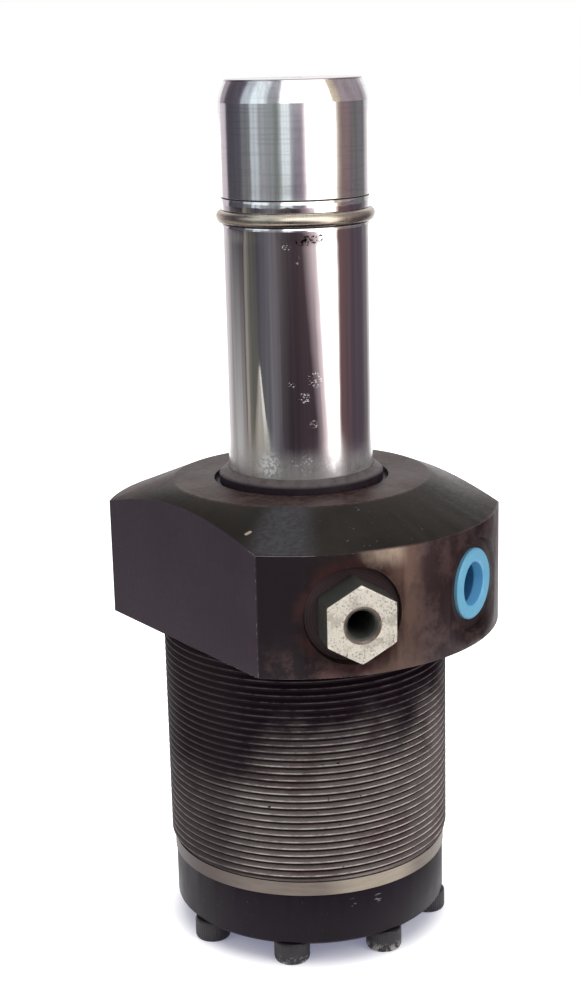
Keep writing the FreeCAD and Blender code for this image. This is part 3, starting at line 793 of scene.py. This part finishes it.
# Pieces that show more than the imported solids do


def nose_outline():
    """The outline of the nose: centre mark, end face, rounded edge and the slightly bulging chamfer."""
    steps = 8
    chamfer = [(rod_radius, nose_top - nose_chamfer_height)]
    for i in range(steps):
        share = (i + 0.5) / steps
        tilt = nose_first_tilt + (nose_last_tilt - nose_first_tilt) * share
        rise = (nose_chamfer_height - nose_edge_round) / steps
        radius, height = chamfer[-1]
        chamfer.append((radius - rise * math.tan(tilt), height + rise))
    edge_radius = chamfer[-1][0]
    corner = (edge_radius - nose_edge_round, nose_top - nose_edge_round)
    rounding = arc(corner, nose_edge_round, quarter_turn, nose_last_tilt, 10)
    return [(0, nose_top - centre_mark_depth), (centre_mark_radius, nose_top), *rounding, *chamfer[::-1]]


def plunger_shaft():
    """The plunger's outer end: nose, scribed line and ring groove outside, the spindle's bore inside."""
    groove_top = ring_height + groove_half_width
    groove_low = ring_height - groove_half_width
    turn_in = groove_edge_round
    line_low = scribe_height - scribe_width / 2
    strip_top = line_low - strip_top_fall
    strip_radius = rod_radius - strip_low_depth
    upper_turn_in = 0.3 * turn_in
    upper_centre = (strip_radius - upper_turn_in, groove_top + upper_turn_in)
    shoulder = groove_shoulder_round
    tilt = groove_shoulder_tilt
    lip_radius = rod_radius - shoulder + (shoulder - turn_in) * math.cos(tilt)
    shoulder_height = groove_low - turn_in - (shoulder - turn_in) * math.sin(tilt)
    outline = nose_outline() + [
        (rod_radius, nose_top - nose_chamfer_height - edge_support),
        (rod_radius, scribe_height + scribe_width / 2 + edge_support),
        (rod_radius, scribe_height + scribe_width / 2),
        (rod_radius - scribe_depth, scribe_height),
        (rod_radius - strip_top_depth, line_low),
        (rod_radius - 0.35 * strip_top_depth, line_low - 0.45 * strip_top_fall),
        (rod_radius, strip_top),
        (rod_radius, strip_top - edge_support),
        (strip_radius, groove_top + upper_turn_in + edge_support),
        *arc(upper_centre, upper_turn_in, 0, -quarter_turn, 12),
        (rod_radius - groove_depth, groove_top),
        (rod_radius - groove_depth, groove_low),
        *arc((lip_radius, groove_low - turn_in), turn_in, quarter_turn, tilt, 10),
        *arc((rod_radius - shoulder, shoulder_height), shoulder, tilt, 0, 12)[1:],
        (rod_radius, shoulder_height - edge_support),
        (rod_radius, shaft_cut_height + edge_support),
        (rod_radius, shaft_cut_height),
        (spindle_bore_radius, shaft_cut_height),
        (spindle_bore_radius, spindle_bore_top),
        (0, spindle_bore_top + spindle_bore_point),
    ]
    return turned("plunger_shaft", outline, steps=256, crease=8 * degree)


def inner_end(work):
    """Keeps what is below the cut through the shaft, and closes it there with a flat ring."""
    everything = work.verts[:] + work.edges[:] + work.faces[:]
    cut = bmesh.ops.bisect_plane(
        work, geom=everything, plane_co=(0, 0, shaft_cut_height), plane_no=(0, 0, 1), clear_outer=True)
    rim = [part for part in cut["geom_cut"] if isinstance(part, bmesh.types.BMEdge)]
    bmesh.ops.bridge_loops(work, edges=rim)


def draw_in(work):
    """Draws the barrel's outside in, to make room for the thread."""
    for vert in work.verts:
        reach = math.hypot(vert.co.x, vert.co.y)
        if reach > sleeve_inner_radius:
            vert.co.x *= sleeve_inner_radius / reach
            vert.co.y *= sleeve_inner_radius / reach


def packed_copy(node, name, change):
    """A copy of a node's solid as packed, which a function changes."""
    return shaped(name, nodes[node].data.copy(), change)


def thread_sleeve():
    """The barrel's outside: a relief under the head, the helical thread, and a plain band below it."""
    columns = 200
    spare_turns = 2
    root_radius = thread_radius - thread_depth
    top, low = -thread_relief, -thread_length
    form = [
        (0.0, thread_radius),
        (crest_share, thread_radius),
        (crest_share + flank_share, root_radius),
        (1 - flank_share, root_radius),
    ]
    plain = [
        (pilot_radius, low),
        (pilot_radius, barrel_low),
        (sleeve_inner_radius - sleeve_lap, barrel_low),
        (sleeve_inner_radius - sleeve_lap, 0.0),
        (root_radius, 0.0),
        (root_radius, top),
    ]
    turns = math.ceil((top - low) / thread_pitch) + spare_turns + 1
    rows = turns * len(form)
    stride = rows + len(plain)

    def form_radius(share):
        share %= 1.0
        for (start, first), (end, second) in zip(form, form[1:] + [(1.0, thread_radius)]):
            if share <= end:
                return first + (second - first) * (share - start) / (end - start)

    points = []
    for column in range(columns):
        turn = column / columns
        for row in range(rows):
            share, radius = form[row % len(form)]
            fall = row // len(form) + share
            height = top + (spare_turns - fall + turn) * thread_pitch
            if not low < height < top:
                height = min(max(height, low), top)
                radius = form_radius((top - height) / thread_pitch + turn)
            lead_in = root_radius + (height - low)
            points.append(at(min(radius, lead_in), 2 * math.pi * turn, height))
        points += [at(radius, 2 * math.pi * turn, height) for radius, height in plain]
    faces = []
    for column in range(columns):
        last = column == columns - 1
        here = column * stride
        there = 0 if last else here + stride
        shift = len(form) if last else 0
        for row in range(rows - 1):
            above = there + max(row - shift, 0)
            below = there + max(row + 1 - shift, 0)
            faces.append(list(dict.fromkeys([here + row, above, below, here + row + 1])))
        for row in range(rows - 1, stride):
            below = (row + 1) % stride
            faces.append([here + row, there + row, there + below, here + below])
    return solid("barrel_thread", points, faces, crease=25 * degree)


def wire_ring():
    """The round wire ring in the plunger's groove, open between its two ends."""
    steps, sides = 120, 20
    start = wire_gap_azimuth + wire_gap_angle / 2
    sweep = 2 * math.pi - wire_gap_angle
    points = []
    for i in range(steps + 1):
        azimuth = start + sweep * i / steps
        for k in range(sides):
            turn = 2 * math.pi * k / sides
            reach = wire_centre_radius + wire_radius * math.cos(turn)
            points.append(at(reach, azimuth, ring_height + wire_radius * math.sin(turn)))
    rings = [list(range(i * sides, (i + 1) * sides)) for i in range(steps + 1)]
    return solid("snap_wire", points, skin(rings) + [rings[0], rings[-1]], crease=40 * degree)


def cap_screw(number):
    """One socket cap screw, head down, with a straight knurl and a hexagon socket."""
    middle = at(screw_circle_radius, 2 * math.pi * number / screw_count)
    low = standing_height
    seat = low + screw_head_height
    tip = seat + screw_length

    def knurled(turn):
        return screw_head_radius - knurl_depth * (0.5 - 0.5 * math.cos(knurl_teeth * turn))

    def socket(turn):
        return screw_key_half_width / math.cos((turn % (math.pi / 3)) - math.pi / 6)

    smooth_radius = screw_head_radius - knurl_depth
    corner = (smooth_radius - screw_edge_round, low + screw_edge_round)
    outline = [
        (0, low + screw_key_depth + screw_key_point),
        (socket, low + screw_key_depth),
        (socket, low + screw_key_chamfer),
        (screw_key_mouth, low),
        *arc(corner, screw_edge_round, -quarter_turn, -10 * degree, 5),
        (knurled, low + screw_edge_round + knurl_low_gap),
        (knurled, seat - knurl_high_gap),
        (smooth_radius, seat - screw_neck),
        (smooth_radius - screw_neck, seat),
        (screw_shank_radius, seat),
        (screw_shank_radius, tip - screw_tip_chamfer),
        (screw_shank_radius - screw_tip_chamfer, tip),
        (0, tip),
    ]
    steps = 4 * knurl_teeth
    return turned(f"cap_screw_{number + 1}", outline, steps, middle, crease=35 * degree)


def stand_for(piece, node, body):
    """Has a piece ride on a body and take the place of a node."""
    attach(piece, body)
    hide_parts(node)
    return piece


def dress(piece, material):
    """Gives a piece one material in place of its own."""
    piece.data.materials.clear()
    piece.data.materials.append(material)


finishes = {
    "black_steel": black_oxide(),
    "worn_steel": barrel_steel(),
    "plunger_chrome": chrome(),
    "ring_steel": ring_wire(),
    "wiper_rubber": black_rubber(),
    "zinc_steel": zinc_plate(),
    "blue_plastic": blue_plastic(),
    "black_cap": cap_black(),
    "black_screw": screw_black(),
    "bronze": bare_metal("bronze", (0.42, 0.24, 0.10), (0.62, 0.40, 0.18), 0.32),
    "inner_steel": bare_metal("inner_steel", (0.42, 0.42, 0.42), (0.62, 0.61, 0.60), 0.28),
    "slipper_plastic": slipper_plastic(),
}
finishes["seal_rubber"] = finishes["wiper_rubber"]
edge_wear = worn_edge()

for row in frame["record"]["subparts"]:
    dress(nodes[row["node"]], finishes[row["material_slot"]])
nodes["body"].data.materials.append(edge_wear)
soften(nodes["body"], head_edge_round)
for name in ("clamp_port_adapter", "end_cap"):
    nodes[name].data.materials.append(nodes[name].data.materials[0])
    soften(nodes[name], small_edge_round)

for piece in (plunger_shaft(), packed_copy("plunger", "plunger_inner_end", inner_end)):
    dress(stand_for(piece, "plunger", "plunger"), finishes["plunger_chrome"])
dress(stand_for(wire_ring(), "wire_ring", "plunger"), finishes["ring_steel"])
for piece in (packed_copy("barrel", "barrel_core", draw_in), thread_sleeve()):
    dress(stand_for(piece, "barrel", "housing"), finishes["worn_steel"])
for number in range(screw_count):
    dress(stand_for(cap_screw(number), "cap_screws", "housing"), finishes["black_screw"])


# Studio: pale floor, lamps that light the object, and cards that only show in reflections


def floor():
    """A pale floor, white away from the object, that keeps the soft shadow under and round the cap and has
    a painted bluish shadow there.
    """
    size = floor_half_width
    mesh = bpy.data.meshes.new("floor")
    corners = [(-size, -size), (size, -size), (size, size), (-size, size)]
    mesh.from_pydata([(x, y, standing_height) for x, y in corners], [], [(0, 1, 2, 3)])
    f = Finish("floor")
    diffuse = f.add("ShaderNodeBsdfDiffuse")
    diffuse.inputs["Color"].default_value = (0.84, 0.83, 0.81, 1.0)
    glow = f.add("ShaderNodeEmission")
    # Painted shadow: the glow is dim and bluish round the cap.
    away = f.spread(f.radius(), shadow_inner_radius, shadow_outer_radius)
    f.feed(glow.inputs["Color"], f.blend(away, (0.17, 0.175, 0.25), (1.0, 1.0, 1.0)))
    f.feed(glow.inputs["Strength"], f.looked_at())
    total = f.add("ShaderNodeAddShader")
    f.feed(total.inputs[0], diffuse.outputs[0])
    f.feed(total.inputs[1], glow.outputs[0])
    mesh.materials.append(f.emitting(total.outputs[0]))
    placed("floor", mesh)


def world():
    """Soft light from all round, which cameras and reflections see as white."""
    sky = bpy.data.worlds.new("studio")
    bpy.context.scene.world = sky
    sky.use_nodes = True
    light = Nodes(sky.node_tree)
    ground = light.tree.nodes["Background"]
    ground.inputs["Color"].default_value = (1.0, 1.0, 1.0, 1.0)
    light.feed(ground.inputs["Strength"], light.spread(light.looked_at(), 0.0, 1.0, ambient_light, 1.0))


def lamp(name, azimuth, distance, height, size, power):
    """A soft lamp that points at the head. Azimuth is in degrees to the right of the camera."""
    data = bpy.data.lights.new(name, "AREA")
    data.shape = "DISK"
    data.size = size
    data.energy = power
    light = placed(name, data)
    light.location = at(distance, camera_azimuth + math.radians(azimuth), height)
    light.rotation_mode = "QUATERNION"
    light.rotation_quaternion = (-light.location).to_track_quat("-Z", "Y")
    light.visible_glossy = False


def seen(red, green, blue):
    """The light of a card that chrome shows in this display colour."""
    chrome_share = 0.8
    return tuple(((v / 255 + 0.055) / 1.055) ** 2.4 / chrome_share for v in (red, green, blue))


def cards(name, low, high, bands, nearer=0.0):
    """A curved row of cards round the object that only reflections see. Each band is an azimuth in
    degrees to the right of the camera, or a low and a high one, with one light or a low and a high one."""
    points = []
    shades = []
    for azimuth, *lights in bands:
        turns = azimuth if isinstance(azimuth, tuple) else (azimuth, azimuth)
        for turn, height in zip(turns, (low, high)):
            points.append(at(card_distance - nearer, camera_azimuth + math.radians(turn), height))
        shades += [lights[0], lights[-1]]
    faces = [(2 * i, 2 * i + 2, 2 * i + 3, 2 * i + 1) for i in range(len(bands) - 1)]
    mesh = bpy.data.meshes.new(name)
    mesh.from_pydata(points, [], faces)
    colours = mesh.color_attributes.new("glow", "FLOAT_COLOR", "POINT")
    for corner, shade in zip(colours.data, shades):
        corner.color = (*shade, 1.0)
    sheet = placed(name, mesh)
    f = Finish(name)
    glow = f.add("ShaderNodeEmission")
    f.feed(glow.inputs["Color"], f.add("ShaderNodeVertexColor", layer_name="glow").outputs["Color"])
    mesh.materials.append(f.emitting(glow.outputs[0]))
    for rays in ("camera", "diffuse", "shadow", "transmission"):
        setattr(sheet, f"visible_{rays}", False)


softbox = (2.4, 2.35, 2.3)
room_white = seen(228, 225, 226)

floor()
world()
lamp("key", azimuth=48, distance=0.9, height=0.55, size=0.7, power=3.6)
lamp("fill", azimuth=-60, distance=1.0, height=0.45, size=0.8, power=2.2)
lamp("top", azimuth=180, distance=0.5, height=0.9, size=0.9, power=2.4)

cards("shaft_cards", cards_low, cards_scribe, [
    (-144.8, room_white),
    (-131.6, seen(180, 182, 178), seen(196, 186, 190)),
    (-116.6, seen(214, 214, 210), seen(120, 114, 118)),
    (-110.9, seen(230, 230, 226), seen(74, 72, 76)),
    (-99.6, seen(222, 220, 218), seen(54, 50, 56)),
    (-96.8, seen(190, 184, 184), seen(56, 50, 56)),
    (-87.4, seen(130, 118, 114), seen(46, 40, 44)),
    (-86, seen(190, 186, 176), seen(100, 96, 92)),
    (-82.2, seen(176, 172, 160), seen(112, 108, 102)),
    (-80.8, seen(104, 104, 92), seen(120, 116, 110)),
    (-77.1, seen(102, 103, 92), seen(104, 102, 96)),
    (-75.2, seen(104, 106, 94), seen(88, 86, 82)),
    (-64.9, seen(112, 112, 104), seen(76, 74, 74)),
    (-61.1, seen(92, 94, 96), seen(62, 60, 66)),
    (-43.2, seen(96, 98, 100), seen(94, 92, 98)),
    (-39.5, seen(98, 100, 104), seen(112, 108, 114)),
    (-30.1, seen(92, 92, 98), seen(106, 100, 104)),
    (-25.4, seen(50, 42, 50), seen(92, 86, 90)),
    (-20.7, seen(28, 22, 28), seen(80, 73, 75)),
    (-7.5, seen(24, 18, 24), seen(66, 58, 63)),
    ((55, 3), seen(40, 32, 40), seen(72, 60, 64)),
    ((57, 18), seen(180, 160, 165), seen(185, 168, 172)),
    ((59, 25), seen(226, 206, 210), seen(226, 214, 214)),
    ((60, 31), softbox),
    ((61, 59), softbox),
    (63.3, seen(140, 116, 112), seen(200, 186, 182)),
    (66.6, seen(84, 66, 68), seen(104, 80, 80)),
    (82.7, seen(92, 76, 80), seen(94, 76, 80)),
    (86.5, seen(74, 62, 70), seen(84, 70, 78)),
    (103.4, seen(64, 56, 62), seen(80, 70, 80)),
    (114.7, seen(70, 60, 66), seen(80, 74, 82)),
    (128.8, seen(84, 72, 74), seen(124, 118, 120)),
    (134.4, seen(150, 146, 150), seen(160, 156, 160)),
    (144.8, room_white),
])
cards("wedge_card", wedge_low, wedge_high, [
    ((-82, -63.5), seen(120, 114, 108), seen(100, 98, 92)),
    ((-70, -63), seen(158, 154, 146), seen(130, 126, 118)),
    ((-50, -62), seen(130, 126, 120), seen(160, 156, 148)),
    ((-42, -61.5), seen(150, 150, 142), seen(222, 222, 212)),
    ((-38, -60.5), seen(232, 232, 224), seen(222, 222, 212)),
], nearer=wedge_gap)
cards("nose_cards", cards_scribe, cards_nose, [
    (-144.8, seen(222, 212, 218)),
    (-123.1, seen(196, 188, 194)),
    (-118.4, seen(78, 74, 82), seen(76, 72, 82)),
    (-86.5, seen(78, 76, 84), seen(76, 76, 86)),
    (-82.7, seen(108, 108, 110), seen(104, 106, 112)),
    (-67.7, seen(112, 110, 112), seen(108, 112, 116)),
    (-65.8, seen(186, 194, 198), seen(188, 198, 202)),
    (-62, seen(184, 192, 196), seen(186, 196, 200)),
    (-60.6, seen(138, 144, 148), seen(138, 146, 152)),
    (-58.3, seen(182, 190, 194), seen(184, 192, 196)),
    (-54.5, seen(180, 188, 192), seen(182, 190, 196)),
    (-51.7, seen(148, 150, 152), seen(146, 152, 158)),
    (-33.8, seen(142, 146, 148), seen(142, 148, 150)),
    (-23.5, seen(116, 122, 116), seen(118, 126, 120)),
    (-20.7, seen(152, 158, 158), seen(150, 160, 160)),
    (-16.9, seen(220, 230, 232), seen(222, 232, 234)),
    (-7.5, seen(222, 230, 232), seen(224, 234, 236)),
    (-2.8, seen(150, 150, 158), seen(150, 154, 162)),
    (1.9, seen(126, 122, 134), seen(128, 126, 138)),
    (10.3, seen(120, 108, 122), seen(120, 112, 124)),
    (15, seen(204, 182, 190), seen(206, 186, 192)),
    (18.8, softbox),
    (61.1, softbox),
    (64.9, seen(192, 178, 164), seen(196, 182, 168)),
    (69.6, seen(136, 120, 112), seen(140, 124, 116)),
    (75.2, seen(124, 106, 104), seen(124, 106, 106)),
    (92.1, seen(116, 100, 106), seen(118, 102, 108)),
    (95.9, seen(106, 102, 104), seen(108, 106, 106)),
    (126, seen(104, 104, 106), seen(106, 108, 110)),
    (132.5, seen(176, 172, 172), seen(178, 176, 176)),
    (144.8, seen(232, 228, 228)),
])
cards("ceiling_cards", cards_nose, cards_top, [
    (-144.8, seen(180, 170, 180), seen(200, 192, 198)),
    (-128.8, seen(150, 142, 150)),
    (-123.1, seen(84, 78, 86), seen(90, 84, 92)),
    (-86.5, seen(80, 76, 86), seen(84, 80, 90)),
    (-82.7, seen(176, 184, 192)),
    (-68.6, seen(184, 192, 200)),
    (-64.9, seen(224, 238, 242)),
    (-42.3, seen(228, 238, 242), seen(226, 236, 240)),
    (-37.6, seen(150, 154, 160), seen(160, 164, 170)),
    (-21.6, seen(152, 154, 160), seen(160, 162, 168)),
    (-17.9, softbox),
    (9.4, softbox),
    (32.9, softbox),
    (57.3, softbox),
    (60.2, seen(198, 184, 162)),
    (71.4, seen(186, 170, 150)),
    (75.2, seen(150, 138, 142), seen(156, 144, 148)),
    (101.5, seen(144, 134, 140), seen(150, 140, 146)),
    (126.9, seen(140, 132, 138), seen(150, 142, 148)),
    (144.8, seen(205, 200, 204)),
])


def camera():
    """The photograph's camera. Its roll and turn follow the tilt of the object in the frame."""
    data = bpy.data.cameras.new("camera")
    data.sensor_width = camera_sensor
    data.lens = camera_lens
    data.clip_start = 0.01
    data.clip_end = 20.0
    eye = placed("camera", data)
    aim = (
        Matrix.Rotation(camera_azimuth + camera_turn, 4, "Z")
        @ Matrix.Rotation(math.pi / 2 - camera_tilt, 4, "X")
        @ Matrix.Rotation(camera_roll, 4, "Z")
    )
    eye.matrix_world = Matrix.Translation(at(camera_distance, camera_azimuth, camera_height)) @ aim
    bpy.context.scene.camera = eye


camera()
bpy.context.scene.view_settings.view_transform = "Standard"

bpy.context.view_layer.update()
